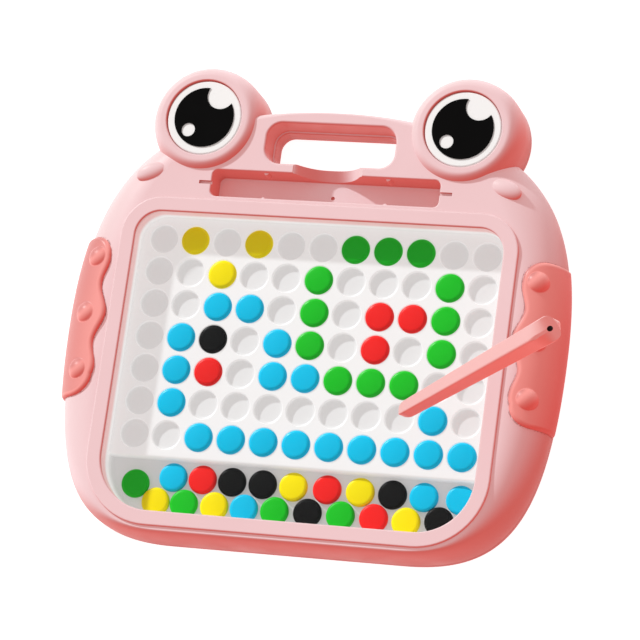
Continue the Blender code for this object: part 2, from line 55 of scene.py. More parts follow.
UNDER, OVER = -0.01, 0.04   # ends of cutters, clear of the case

# Heights above the table
PART_LINE = 0.0060          # where the case halves meet
WIDEST = 0.0075             # top of the straight side
DECK = 0.0278               # flat front of the case
BEZEL = 0.0290              # raised band round the window
EYE_RIM = 0.0306
WALL = 0.0022
WINDOW_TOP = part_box("window_panel")[1][2]
WINDOW_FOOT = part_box("window_panel")[0][2]
PLATE_TOP = 0.0155          # face of the bead tray
CUP_DEPTH = 0.0026
FLOOR_THICKNESS = 0.0015    # under the cups and the trough
TROUGH_FLOOR = 0.0089
TROUGH_EDGE = -0.0628       # front edge of the cup plate

BEAD_RADIUS, BEAD_HEIGHT, CUP_RADIUS = 0.0073, 0.0038, 0.0075

# Rectangles: low x, high x, low y, high y
OPENING, OPENING_RADII = (-0.0962, 0.0962, -0.0924, 0.0620), (0.0280, 0.0130)
BEZEL_BAND = 0.0076
HANDLE, HANDLE_RADIUS = (-0.034, 0.034, 0.0905, 0.1122), 0.008
SLOT, SLOT_RADIUS, SLOT_FLOOR = (-0.0598, 0.0598, 0.0716, 0.0856), 0.003, 0.0138
NOTCH, NOTCH_FLOOR, NOTCH_RISE = (-0.017, 0.018, 0.0847, 0.095), 0.0150, 0.75
NOTCH_WEB = (-0.022, 0.023, 0.0846, 0.0915)     # solid between slot and handle, under the notch
SLIT_LENGTH, SLIT_WIDTH, SLIT_DEPTH = 0.0065, 0.0018, 0.0018
NUB_RADIUS, NUB_X = 0.0013, 0.032
TETHER_HOLE = (0.0010, 0.0775, 0.0010)

# Case outlines, right half: anchors with their curve handles
OUTER = ((0.060, -0.105), (0.110, -0.105), (0.1284, -0.080), (0.1284, 0.005),
         (0.1284, 0.094), (0.0920, 0.1210), (0.0, 0.1210))
INNER = ((0.060, -0.1015), (0.098, -0.1015), (0.105, -0.088), (0.105, 0.005),
         (0.105, 0.075), (0.080, 0.1175), (0.0, 0.1175))
FINE_STEPS = (160, 200)         # for the fine outlines that the grips follow
RIGHT_SIDE = slice(9, 330)      # their points from the end of the straight foot to part way over the crown

# Eyes
EYE = (0.068, 0.1122)
EYE_BASE_RADIUS, EYE_RIM_RADIUS, EYE_SHOULDER = 0.0295, 0.0226, 0.0160
EYE_DISC_RADIUS, PUPIL_RADIUS, PUPIL_THICKNESS = 0.0197, 0.0158, 0.0003
EYE_HOLLOW_RADIUS, EYE_HOLLOW_SHOULDER, EYE_HOLLOW_TOP_RADIUS = 0.0271, 0.0120, 0.0235
DISC_FLOOR, DISC_TOP = 0.0276, 0.0298
GLINTS = ((0.0075, 0.0120, 0.0073), (-0.0075, -0.0070, 0.0036))      # x and y from the eye's centre, radius
CHEEK, CHEEK_SIZE, CHEEK_HEIGHT = (0.093, 0.083), (0.0084, 0.0048, 0.0030), 0.0262

# Side grips
GRIP_SPAN = (-0.0362, 0.0478)
GRIP_EDGE, GRIP_CORNER, GRIP_PEAK_Y = 0.1075, 0.011, 0.007
GRIP_WAVE, GRIP_WAVE_LENGTH, GRIP_BOW = 0.0020, 0.0295, 0.0035
GRIP_THICKNESS, GRIP_ROLL, GRIP_FOOT = 0.0019, 0.0024, 0.0070
BUMP_X, BUMP_RADIUS, BUMP_HEIGHT = 0.1165, 0.0052, 0.0025
SEAT_MARGIN, SEAT_DEPTH, GRIP_SINK = 0.0005, 0.0009, 0.0006

# Screws, entered from the back
SCREWS = ((-0.0965, -0.0905), (0.0965, -0.0905), (-0.1130, 0.0050), (0.1130, 0.0050),
          (-0.1000, 0.0720), (0.1000, 0.0720))
POST_RADIUS, SCREW_HEAD_RADIUS, SCREW_SHANK_RADIUS = 0.0036, 0.0026, 0.0012
SCREW_HEAD, SCREW_END = (0.0012, 0.0030), 0.0140

# Pen, drawn along +X from its tip
PEN_LENGTH, PEN_TIP_SIDE, PEN_TAIL_SIDE = 0.1163, 0.0066, 0.0099
PEN_TIP_AT, PEN_AXIS = (0.0551, -0.0345, 0.02985), (0.7556, 0.2630, 0.6000)
PEN_RIDGE = (-0.352, -0.617, 0.704)
PEN_NOSE, PEN_TAIL = 0.0072, 0.0050                              # lengths of the rounded ends
PEN_SLOPE, PEN_SLOPE_START = math.radians(33), PEN_LENGTH - 0.0122
MAGNET_LINE_AT, MAGNET_AXIS = (0.0569, -0.0351, 0.02906), (0.745, 0.270, 0.610)
MAGNET_RADIUS, MAGNET_SPAN = 0.0014, (0.0105, 0.0205)
TETHER_RADIUS, TETHER_BACK, TETHER_LEAN = 0.0012, 0.0033, math.radians(5)    # set back from the tail's end

# Spare beads in the trough: board x and y in mm, with their colours
TROUGH = {
    "left": ((-82, -76, "green"), (-70, -84.5, "yellow"), (-62.5, -71.5, "blue"), (-55, -84.5, "green"),
             (-47, -71.5, "red"), (-39, -84.5, "yellow"), (-31.5, -71.5, "black")),
    "middle": ((-23.5, -84.5, "blue"), (-15.5, -71.5, "black"), (-7.5, -84.5, "green"), (0.5, -71.5, "yellow"),
               (9.5, -84, "black"), (18, -71.5, "red"), (26.5, -84, "green")),
    "right": ((35, -71.5, "yellow"), (43.5, -84, "red"), (51.5, -71.5, "black"), (60, -84.5, "yellow"),
              (67.5, -71.5, "blue"), (76.5, -83, "black"), (86, -71.5, "blue")),
}


# ---------------------------------------------------------------- lines and outlines

def bend(start, end, upright=True, steps=6):
    """A quarter of an ellipse between two points: it starts upright and ends level, or the reverse."""
    turn = np.linspace(0, np.pi / 2, steps + 1)[:, None]
    eased = np.hstack([1 - np.cos(turn), np.sin(turn)] if upright else [np.sin(turn), 1 - np.cos(turn)])
    return np.asarray(start) + (np.asarray(end) - np.asarray(start)) * eased


def run(*parts):
    """Points and runs of points as one line, without the repeated ones."""
    line = np.vstack([np.atleast_2d(part) for part in parts])
    return line[np.r_[True, np.abs(np.diff(line, axis=0)).sum(axis=1) > 1e-7]]


def run_values(*parts):
    """Rising runs of numbers as one, without the repeated ones."""
    values = np.concatenate(parts)
    return values[np.r_[True, np.diff(values) > 1e-7]]


def pillar(radius, low, high):
    """The line of a plain cylinder."""
    return run((0, low), (radius, low), (radius, high), (0, high))


def bezier(corners, steps):
    """Points after the first of a cubic curve: its corners weighted by the cubic Bernstein polynomials."""
    t = np.linspace(0, 1, steps + 1)[1:, None]
    a, b, c, d = np.asarray(corners, float)
    return a * (1 - t) ** 3 + 3 * b * t * (1 - t) ** 2 + 3 * c * t ** 2 * (1 - t) + d * t ** 3


def egg(anchors, foot_steps=48, crown_steps=64):
    """The case's closed outline, anticlockwise from mid foot: a straight foot and two curves, mirrored."""
    foot = np.linspace((0.0, anchors[0][1]), anchors[0], 9)
    half = np.vstack([foot, bezier(anchors[:4], foot_steps), bezier(anchors[3:], crown_steps)])
    return np.vstack([half, half[-2:0:-1] * (-1, 1)])


def grown(outline, distance):
    """The outline moved out along its normals, square to the line between each point's neighbours."""
    along = np.roll(outline, -1, axis=0) - np.roll(outline, 1, axis=0)
    along = along / np.linalg.norm(along, axis=1, keepdims=True)
    return outline + distance * along[:, ::-1] * (1, -1)


def rounded_box(box, foot_radius, top_radius, grow=0.0, steps=10):
    """A rectangle with round corners, anticlockwise, its sides moved out by grow."""
    low_x, high_x, low_y, high_y = box
    foot, top = foot_radius + grow, top_radius + grow
    turn = np.radians(np.linspace(0, 90, steps + 1))
    centres = ((high_x - foot_radius, low_y + foot_radius, foot, -90),
               (high_x - top_radius, high_y - top_radius, top, 0),
               (low_x + top_radius, high_y - top_radius, top, 90),
               (low_x + foot_radius, low_y + foot_radius, foot, 180))
    corners = []
    for x, y, radius, start in centres:
        angles = turn + math.radians(start)
        corners.append(np.column_stack([x + radius * np.cos(angles), y + radius * np.sin(angles)]))
    return np.vstack(corners)


def opening(grow):
    return rounded_box(OPENING, *OPENING_RADII, grow, 16)


def handle(grow):
    return rounded_box(HANDLE, HANDLE_RADIUS, HANDLE_RADIUS, grow, 12)


def slot(grow):
    return rounded_box(SLOT, SLOT_RADIUS, SLOT_RADIUS, grow, 8)


# ---------------------------------------------------------------- meshes

def new_object(name, points, *faces):
    """An object from points and groups of faces. Each group is an array with one row of corners per face."""
    mesh = bpy.data.meshes.new(name)
    corners = np.concatenate([np.ravel(group) for group in faces]).astype(np.int32)
    counts = np.concatenate([np.full(len(group), group.shape[1]) for group in faces])
    mesh.vertices.add(len(points))
    mesh.vertices.foreach_set("co", np.ravel(points).astype(np.float32))
    mesh.loops.add(len(corners))
    mesh.loops.foreach_set("vertex_index", corners)
    mesh.polygons.add(len(counts))
    mesh.polygons.foreach_set("loop_start", (np.cumsum(counts) - counts).astype(np.int32))
    mesh.update(calc_edges=True)
    made = bpy.data.objects.new(name, mesh)
    bpy.context.scene.collection.objects.link(made)
    return made


def on_board(points):
    """Board places in the frame."""
    return np.asarray(points) + (0.0, BOARD_Y, 0.0)


def ringed(name, rings):
    """A closed solid through rings of equal counts, lowest first and anticlockwise from above."""
    grid = np.arange(rings.shape[0] * rings.shape[1]).reshape(rings.shape[:2])
    after = np.roll(grid, -1, axis=1)
    sides = np.stack([grid[:-1], after[:-1], after[1:], grid[1:]], axis=-1).reshape(-1, 4)
    return new_object(name, rings.reshape(-1, 3), sides, grid[:1, ::-1], grid[-1:])


def carried(name, outline_of, line):
    """A solid whose outline at each height of the line is moved out by the line's distance there."""
    outlines = [(outline_of(out), height) for out, height in line]
    rings = [np.column_stack([outline, np.full(len(outline), height)]) for outline, height in outlines]
    return ringed(name, on_board(np.array(rings)))


def prism(name, outline, low, high):
    return carried(name, lambda out: np.asarray(outline, float), ((0, low), (0, high)))


def block(name, low_x, high_x, low_y, high_y, low, high):
    return prism(name, ((low_x, low_y), (high_x, low_y), (high_x, high_y), (low_x, high_y)), low, high)


def turned(name, line, centres, segments=64):
    """The line of (radius, height) swept round an upright axis at each centre. Its ends lie on the axis."""
    angles = np.arange(segments) * 2 * np.pi / segments
    radius, height = line[1:-1, :1], line[1:-1, 1:]
    rings = np.stack([radius * np.cos(angles), radius * np.sin(angles), height + 0 * angles], axis=-1)
    points = np.vstack([[[0, 0, line[0, 1]]], rings.reshape(-1, 3), [[0, 0, line[-1, 1]]]])
    grid = 1 + np.arange(rings.shape[0] * segments).reshape(-1, segments)
    after = np.roll(grid, -1, axis=1)
    sides = np.stack([grid[:-1], after[:-1], after[1:], grid[1:]], axis=-1).reshape(-1, 4)
    foot = np.stack([0 * grid[0], after[0], grid[0]], axis=-1)
    top = np.stack([grid[-1], after[-1], 0 * grid[0] + len(points) - 1], axis=-1)
    places = np.column_stack([np.asarray(centres, float), np.zeros(len(centres))])
    shift = np.arange(len(places))[:, None, None] * len(points)
    everywhere = (points + places[:, None]).reshape(-1, 3)
    return new_object(name, on_board(everywhere), (sides + shift).reshape(-1, 4),
                      (np.stack([foot, top]) + shift[:, None]).reshape(-1, 3))


def both_eyes():
    return [(-EYE[0], EYE[1]), EYE]


def settle(made):
    """The object's mesh with its modifiers applied."""
    graph = bpy.context.evaluated_depsgraph_get()
    mesh = bpy.data.meshes.new_from_object(made.evaluated_get(graph))
    made.modifiers.clear()
    made.data = mesh
    return made


def combine(made, operation, others):
    """Boolean steps applied one after another; the other solids are used up."""
    for other in others:
        modifier = made.modifiers.new(operation.lower(), "BOOLEAN")
        modifier.operation = operation
        modifier.solver = "MANIFOLD"
        modifier.object = other
    settle(made)
    for other in others:
        bpy.data.objects.remove(other, do_unlink=True)
    return made


def cut(made, *others):
    return combine(made, "DIFFERENCE", others)


def join(made, *others):
    return combine(made, "UNION", others)


def smooth(made, crease=32, weighted=True):
    """Smooth shading up to the crease angle in degrees; large faces stay flat beside a rounded edge."""
    made.data.shade_smooth()
    made.data.set_sharp_from_angle(angle=math.radians(crease))
    if weighted:
        modifier = made.modifiers.new("weighted", "WEIGHTED_NORMAL")
        modifier.keep_sharp = True
    return made


def finish(made, material, body, finish_slot, *replaced):
    """The piece's material, the body that carries it, its slot (not used) and the CAD nodes it stands for."""
    made.data.materials.clear()
    made.data.materials.append(material)
    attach(made, body)
    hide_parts(*replaced)
    return made


# ---------------------------------------------------------------- materials

# Painted light and shade: these two directions set where colour is painted pale as if lit, and deep as if in
# shade.
LIT_FROM = (-0.65, 0.62, 0.44)          # towards the key light
PAINTED_LIGHT_SIDE = (-0.50, 0.76, 0.42)       # walls that face away from it turn deep in colour
SOFT = {"interpolation_type": "SMOOTHSTEP"}
COLOURS = {"data_type": "RGBA"}


def linear(colour):
    """An sRGB hex colour as linear red, green, blue and full alpha."""
    parts = [int(colour[i:i + 2], 16) / 255 for i in (0, 2, 4)]
    return (*[p / 12.92 if p <= 0.04045 else ((p + 0.055) / 1.055) ** 2.4 for p in parts], 1.0)


def add_node(tree, kind, inputs=None, **settings):
    """One node with its settings. Inputs are given by name or number: a value, or another node's output."""
    made = tree.nodes.new("ShaderNode" + kind)
    for setting, value in settings.items():
        setattr(made, setting, value)
    for socket, value in (inputs or {}).items():
        if isinstance(value, bpy.types.NodeSocket):
            tree.links.new(value, made.inputs[socket])
        else:
            made.inputs[socket].default_value = value
    return made


def new_material(name, **sockets):
    """A material with its shader's own sockets set, its tree, its shader and Object coordinates."""
    material = bpy.data.materials.new(name)
    material.use_nodes = True
    tree = material.node_tree
    shader = tree.nodes["Principled BSDF"]
    for socket, value in sockets.items():
        shader.inputs[socket.replace("_", " ")].default_value = value
    place = add_node(tree, "TexCoord").outputs["Object"]
    return material, tree, shader, place


def painted_light_and_shade(tree, shade, face, lit):
    """Painted light and shade: a deep painted shade on walls turned from the light, pale painted light on
    those to it.
    """
    normal = add_node(tree, "TexCoord").outputs["Normal"]
    upper = add_node(tree, "VectorMath", {0: normal, 1: PAINTED_LIGHT_SIDE}, operation="DOT_PRODUCT")
    deep = add_node(tree, "MapRange", {0: upper.outputs["Value"], 1: -0.50, 2: 0.44}, **SOFT)
    towards = add_node(tree, "VectorMath", {0: normal, 1: LIT_FROM}, operation="DOT_PRODUCT")
    pale = add_node(tree, "MapRange", {0: towards.outputs["Value"], 1: 0.46, 2: 0.85}, **SOFT)
    body = add_node(tree, "Mix", {0: deep.outputs[0], 6: linear(shade), 7: linear(face)}, **COLOURS)
    skin = add_node(tree, "Mix", {0: pale.outputs[0], 6: body.outputs[2], 7: linear(lit)}, **COLOURS)
    return skin.outputs[2]


def moulded(tree, shader, place, colour, cloud, roughness, spread, grain, depth):
    """Moulded skin: clouded colour, roughness that wanders with handling, and a fine spark-eroded grain.

    The clouds are 45 mm across and the handled patches 12 mm; the grain's size and depth are given.
    """
    flow = add_node(tree, "TexNoise", {"Vector": place, "Scale": 1 / 0.045, "Detail": 3.0, "Distortion": 0.6})
    tone = add_node(tree, "MapRange", {0: flow.outputs["Fac"], 1: 0.3, 2: 0.7, 3: 1 - cloud, 4: 1.0})
    clouded = add_node(tree, "Mix", {0: 1.0, 6: colour, 7: tone.outputs[0]}, blend_type="MULTIPLY", **COLOURS)
    tree.links.new(clouded.outputs[2], shader.inputs["Base Color"])
    handled = add_node(tree, "TexNoise", {"Vector": place, "Scale": 1 / 0.012, "Detail": 4.0})
    limits = {1: 0.3, 2: 0.7, 3: roughness - spread, 4: roughness + spread}
    worn = add_node(tree, "MapRange", {0: handled.outputs["Fac"], **limits})
    tree.links.new(worn.outputs[0], shader.inputs["Roughness"])
    pits = add_node(tree, "TexNoise", {"Vector": place, "Scale": 1 / grain, "Detail": 2.0})
    bump = add_node(tree, "Bump", {"Strength": 0.35, "Distance": depth, "Height": pits.outputs["Fac"]})
    tree.links.new(bump.outputs["Normal"], shader.inputs["Normal"])


def painted_glow(tree, shader, place, colour):
    """Painted glow standing in for light passed on inside thin plastic, with painted shade: less towards the
    foot, and little in crevices.
    """
    # Painted shade: the glow is cut in crevices and towards the foot.
    crevices = add_node(tree, "AmbientOcclusion", {"Distance": 0.005}, samples=4)
    crevice_painted_shade = add_node(tree, "MapRange", {0: crevices.outputs["AO"], 1: 0.0, 2: 0.75, 3: 0.35, 4: 1.0})
    upright = add_node(tree, "SeparateXYZ", {0: place})
    raised = add_node(tree, "MapRange", {0: upright.outputs["Z"], 1: 0.002, 2: 0.024, 3: 0.65, 4: 1.0})
    level = add_node(tree, "Math", {0: crevice_painted_shade.outputs[0], 1: raised.outputs[0]}, operation="MULTIPLY")
    shader.inputs["Emission Color"].default_value = linear(colour)
    tree.links.new(level.outputs[0], shader.inputs["Emission Strength"])


def pink_abs():
    """Pink ABS, injection moulded with a satin grain: soft highlights; painted pale light where lit, painted
    coral shade, and a painted glow.
    """
    material, tree, shader, place = new_material("moulded_pink_abs", Specular_IOR_Level=0.12)
    # Painted glow in A24842; painted shade A24540, face BCC0C4 and painted light ACB4B6.
    painted_glow(tree, shader, place, "A24842")
    colour = painted_light_and_shade(tree, "A24540", "BCC0C4", "ACB4B6")
    moulded(tree, shader, place, colour, cloud=0.03, roughness=0.42, spread=0.06, grain=0.0009, depth=0.00006)
    return material


def coral_abs(name, shade, face, lit, roughness):
    """Coral ABS, injection moulded and a little glossier than the case: the grips and the pen, with painted
    glow, light and shade.
    """
    material, tree, shader, place = new_material(name, Specular_IOR_Level=0.15)
    # Painted glow in A23F38; the shade and lit colours given are painted shade and painted light.
    painted_glow(tree, shader, place, "A23F38")
    colour = painted_light_and_shade(tree, shade, face, lit)
    moulded(tree, shader, place, colour, 0.04, roughness, spread=0.05, grain=0.0011, depth=0.00005)
    return material


def pen_abs():
    """The pen's coral ABS, with painted shade inside the tether hole, where little light reaches."""
    # Painted shade C95F58, face BA9E9C and painted light AD9E9D.
    material = coral_abs("moulded_coral_pen_abs", "C95F58", "BA9E9C", "AD9E9D", 0.34)
    tree = material.node_tree
    shader = tree.nodes["Principled BSDF"]
    hole = laid_along(PEN_TIP_AT, PEN_AXIS) @ tether_place()
    place = add_node(tree, "TexCoord").outputs["Object"]
    offset = add_node(tree, "VectorMath", {0: place, 1: hole.translation}, operation="SUBTRACT").outputs[0]
    beside = add_node(tree, "VectorMath", {0: offset, 1: hole.col[2].to_3d()}, operation="CROSS_PRODUCT")
    away = add_node(tree, "VectorMath", {0: beside.outputs[0]}, operation="LENGTH").outputs["Value"]
    edge = {1: TETHER_RADIUS + 0.00004, 2: TETHER_RADIUS + 0.00014}
    outside = add_node(tree, "MapRange", {0: away, **edge}).outputs[0]
    colour = shader.inputs["Base Color"].links[0].from_socket
    level = shader.inputs["Emission Strength"].links[0].from_socket
    # Painted shade: near black 2A0F0D inside the tether hole, and no painted glow there.
    painted_hole_shade = add_node(tree, "Mix", {0: outside, 6: linear("2A0F0D"), 7: colour}, **COLOURS)
    tree.links.new(painted_hole_shade.outputs[2], shader.inputs["Base Color"])
    hole_glow_cut = add_node(tree, "Math", {0: level, 1: outside}, operation="MULTIPLY")
    tree.links.new(hole_glow_cut.outputs[0], shader.inputs["Emission Strength"])
    return material


def white_abs():
    """White ABS tray, polished mould: a painted glow keeps it bright even in shade, with painted shade in cups
    and trough, and its wall painted pink as if lit by the case.
    """
    material, tree, shader, place = new_material("polished_white_abs")
    height = add_node(tree, "SeparateXYZ", {0: place}).outputs["Z"]
    # Painted glow with painted shade: emission 0.51 at the plate's face, 0.39 down in the cups, and up to 0.08
    # less in the trough.
    cup_depths = {1: PLATE_TOP - 0.0024, 2: PLATE_TOP - 0.0002, 3: 0.39, 4: 0.51}
    painted_cup_shade = add_node(tree, "MapRange", {0: height, **cup_depths}, **SOFT)
    trough_depths = {1: TROUGH_FLOOR, 2: PLATE_TOP - CUP_DEPTH, 3: -0.08, 4: 0.0}
    painted_trough_shade = add_node(tree, "MapRange", {0: height, **trough_depths})
    level = add_node(tree, "Math", {0: painted_cup_shade.outputs[0], 1: painted_trough_shade.outputs[0]}, operation="ADD")
    tree.links.new(level.outputs[0], shader.inputs["Emission Strength"])
    # Painted reflected light: the wall above the plate is painted pink, glow FFCFCC and colour A07C7B, as
    # light off the case.
    wall_heights = {1: PLATE_TOP + 0.002, 2: PLATE_TOP + 0.006}
    wall = add_node(tree, "MapRange", {0: height, **wall_heights}, **SOFT).outputs[0]
    painted_case_bounce = add_node(tree, "Mix", {0: wall, 6: linear("FFFCFA"), 7: linear("FFCFCC")}, **COLOURS)
    tree.links.new(painted_case_bounce.outputs[2], shader.inputs["Emission Color"])
    colour = add_node(tree, "Mix", {0: wall, 6: linear("ACADAE"), 7: linear("A07C7B")}, **COLOURS).outputs[2]
    moulded(tree, shader, place, colour, cloud=0.02, roughness=0.38, spread=0.06, grain=0.0014, depth=0.00004)
    return material


def clear_acrylic():
    """Clear acrylic sheet, cast and cut: almost unseen, with faint wiping marks in its gloss."""
    material, tree, shader, place = new_material("cast_clear_acrylic", Alpha=0.012, IOR=1.49)
    shader.inputs["Base Color"].default_value = linear("8E9CA2")
    wiped = add_node(tree, "Mapping", {"Vector": place, "Rotation": (0, 0, 0.6), "Scale": (1.0, 0.12, 1.0)})
    fine = {"Vector": wiped.outputs["Vector"], "Scale": 1 / 0.0016, "Detail": 3.0}
    marks = add_node(tree, "TexNoise", fine).outputs["Fac"]
    gloss = add_node(tree, "MapRange", {0: marks, 1: 0.35, 2: 0.75, 3: 0.05, 4: 0.13})
    tree.links.new(gloss.outputs[0], shader.inputs["Roughness"])
    bump = add_node(tree, "Bump", {"Strength": 0.1, "Distance": 0.00002, "Height": marks})
    tree.links.new(bump.outputs["Normal"], shader.inputs["Normal"])
    return material


def bead_abs(colour_name, colour):
    """Coloured ABS bead, tumbled after moulding: saturated and satin, with a worn sheen; black is duller."""
    shine = 0.05 if colour_name == "black" else 0.12
    material, tree, shader, place = new_material("tumbled_abs_" + colour_name, Specular_IOR_Level=shine)
    skin = {"cloud": 0.07, "roughness": 0.34, "spread": 0.07, "grain": 0.0012, "depth": 0.00005}
    moulded(tree, shader, place, linear(colour), **skin)
    return material


def eye_white():
    """White ABS eye disc under gloss lacquer: bright, even and smooth."""
    material, tree, shader, place = new_material("lacquered_white_abs", Coat_Weight=0.4, Coat_Roughness=0.08)
    skin = {"cloud": 0.015, "roughness": 0.28, "spread": 0.04, "grain": 0.003, "depth": 0.00003}
    moulded(tree, shader, place, linear("F7F7F6"), **skin)
    return material


def eye_black():
    """Black screen-printed ink, gloss: near black, with the ink's slight orange peel."""
    material, tree, shader, place = new_material("screen_printed_black_ink", Specular_IOR_Level=0.05)
    skin = {"cloud": 0.10, "roughness": 0.22, "spread": 0.04, "grain": 0.0022, "depth": 0.00003}
    moulded(tree, shader, place, linear("090909"), **skin)
    return material


def zinc_steel():
    """Zinc-plated steel screws: pale grey, brushed by the driver, faintly blotched."""
    material, tree, shader, place = new_material("zinc_plated_steel", Metallic=1.0)
    skin = {"cloud": 0.18, "roughness": 0.34, "spread": 0.10, "grain": 0.0006, "depth": 0.00004}
    moulded(tree, shader, place, linear("B9BBBD"), **skin)
    return material


def nickel_plate():
    """Nickel-plated magnet: bright and hard, with fine handling scratches."""
    material, tree, shader, place = new_material("nickel_plated_magnet", Metallic=1.0)
    skin = {"cloud": 0.10, "roughness": 0.20, "spread": 0.08, "grain": 0.0005, "depth": 0.00002}
    moulded(tree, shader, place, linear("C9C5BC"), **skin)
    return material


def studio_paper():
    """Matt white studio paper, lit through a little: a clean pale floor with barely visible fibre."""
    material, tree, shader, place = new_material("matt_white_paper", Specular_IOR_Level=0.1)
    shader.inputs["Emission Color"].default_value = linear("FFFFFF")
    shader.inputs["Emission Strength"].default_value = 0.90
    skin = {"cloud": 0.01, "roughness": 0.85, "spread": 0.05, "grain": 0.002, "depth": 0.00005}
    moulded(tree, shader, place, linear("B4B4B4"), **skin)
    return material


# ---------------------------------------------------------------- case

def flank(outer, inner, low, top, steps):
    """Rings straight up from low to the widest height, then a quarter ellipse in to the inner outline."""
    turn = np.linspace(0, np.pi / 2, steps + 1)[:, None, None]
    plan = inner + (outer - inner) * np.cos(turn)
    height = WIDEST + (top - WIDEST) * np.sin(turn)
    rounded = np.concatenate([plan, height + 0 * plan[:, :, :1]], axis=2)
    chamfer = [np.column_stack([grown(outer, out), np.full(len(outer), z)])
               for out, z in ((-CHAMFER, low), (0.0, low + CHAMFER))]
    return np.concatenate([chamfer, rounded])


def eye_line(low):
    """Eye bulge: up its straight side, then a quarter ellipse over to its flat rim."""
    return run((0, low), (EYE_BASE_RADIUS - CHAMFER, low), (EYE_BASE_RADIUS, low + CHAMFER),
               bend((EYE_BASE_RADIUS, EYE_SHOULDER), (EYE_RIM_RADIUS, EYE_RIM), steps=14), (0, EYE_RIM))


def cheek(sign):
    """A low oval bump: a half circle swept round, stretched to its half axes and turned about Z."""
    angles = np.linspace(-np.pi / 2, np.pi / 2, 25)
    made = turned("cheek", np.column_stack([np.cos(angles), np.sin(angles)]), [(0, 0)], 56)
    centre = Matrix.Translation(on_board((sign * CHEEK[0], CHEEK[1], CHEEK_HEIGHT)))
    shape = Matrix.Rotation(math.radians(-20 * sign), 4, "Z") @ Matrix.Diagonal((*CHEEK_SIZE, 1.0))
    made.data.transform(centre @ shape @ Matrix.Translation((0, -BOARD_Y, 0)))
    return made


def posts():
    """A pillar round each screw."""
    return turned("posts", pillar(POST_RADIUS, UNDER, OVER), SCREWS, 20)


def case_hollow():
    """Inside of the front half: walls of the slot, handle and screw posts stay standing."""
    low, top = PART_LINE - 0.002, DECK - WALL
    outer = grown(egg(OUTER, 12, 16), -WALL - 0.0004)
    inner = grown(egg(INNER, 12, 16), -WALL - 0.0002)
    hollow = ringed("case_hollow", on_board(flank(outer, inner, low, top, 6)))
    shoulder = bend((EYE_HOLLOW_RADIUS, EYE_HOLLOW_SHOULDER), (EYE_HOLLOW_TOP_RADIUS, top), steps=4)
    bulge = run((0, low), (EYE_HOLLOW_RADIUS, low), shoulder, (0, top))
    join(hollow, turned("eye_hollows", bulge, both_eyes(), 32))
    handle_wall = prism("handle_wall", handle(WALL), UNDER, OVER)
    slot_wall = prism("slot_wall", slot(WALL), SLOT_FLOOR - WALL, OVER)
    return cut(hollow, handle_wall, slot_wall, block("notch_web", *NOTCH_WEB, SLOT_FLOOR, OVER), posts())


def slot_cutter():
    """The pen slot: a filleted floor, and a mouth that opens out in a quarter round."""
    rounding = 0.0008
    floor = bend((-rounding, SLOT_FLOOR), (0, SLOT_FLOOR + rounding), False, 4)
    mouth = bend((0, DECK - rounding), (rounding, DECK), steps=7)
    return carried("slot_cutter", slot, run(floor, mouth, (rounding, OVER)))


def slit_cutter(sign):
    """A short slit that runs on from one end of the slot."""
    x, y = sign * SLOT[1], (SLOT[2] + SLOT[3]) / 2
    low_y, high_y = y - SLIT_WIDTH / 2, y + SLIT_WIDTH / 2
    return block("slit", x - SLIT_LENGTH, x + SLIT_LENGTH, low_y, high_y, DECK - SLIT_DEPTH, OVER)


def handle_cutter():
    """Right through, rounded at front and back, with a soft step half way, where the back half stands in."""
    front, back, step, sill = 0.0012, 0.0040, 0.0010, 0.0135
    line = run((back, UNDER), bend((back, 0), (0, back), False, 7),
               bend((0, sill - step), (step, sill), steps=5),
               bend((step, DECK - front), (step + front, DECK), steps=8), (step + front, OVER))
    return carried("handle_cutter", lambda out: handle(out - step), line)


def notch_cutter():
    """A scoop between slot and handle: its floor rises to each side by the 2.6th power, and to the handle."""
    low_x, high_x, low_y, high_y = NOTCH
    flare, edge = 0.0008, DECK - 0.0006
    across = np.linspace(-1, 1, 41)
    x = (low_x + high_x) / 2 + across * (high_x - low_x) / 2
    lip = bend((0, 0), (flare, 0.0006), False, 3)[1:]
    left, right = (low_x, edge) + lip[::-1] * (-1, 1), (high_x, edge) + lip
    above = ((high_x + flare, OVER), (low_x - flare, OVER))
    rings = []
    for y in (low_y, high_y):
        foot = NOTCH_FLOOR + NOTCH_RISE * (y - SLOT[3])
        floor = np.minimum(foot + (DECK - foot) * np.abs(across) ** 2.6, edge)
        outline = np.vstack([left, np.column_stack([x, floor]), right, above])
        rings.append(np.column_stack([outline[:, 0], np.full(len(outline), y), outline[:, 1]]))
    return ringed("notch_cutter", on_board(np.array(rings[::-1])))


def window_mouth():
    """The opening over the window, its edge rounded into the bezel."""
    rounding = 0.0008
    line = run((0, 0.015), bend((0, BEZEL - rounding), (rounding, BEZEL)), (rounding, OVER))
    return carried("window_mouth", opening, line)


def eye_recesses():
    """Seats for the eye discs, rounded into the rim."""
    radius, low, rounding = EYE_DISC_RADIUS + GAP, DISC_FLOOR - GAP, 0.0007
    mouth = bend((radius, EYE_RIM - rounding), (radius + rounding, EYE_RIM), steps=7)
    line = run((0, low), (radius, low), mouth, (radius + rounding, OVER), (0, OVER))
    return turned("eye_recesses", line, both_eyes(), 128)


def slot_nubs():
    """Four small nubs on the slot's long walls, which hold the pen."""
    low, top, foot, shoulder = 0.0190, 0.0255, 0.0004, 0.0006
    line = run((0, low), bend((NUB_RADIUS - foot, low), (NUB_RADIUS, low + foot), False, 3),
               bend((NUB_RADIUS, top - shoulder), (NUB_RADIUS - shoulder, top), steps=4), (0, top))
    return turned("slot_nubs", line, [(sign * NUB_X, wall) for sign in (-1, 1) for wall in SLOT[2:]], 24)


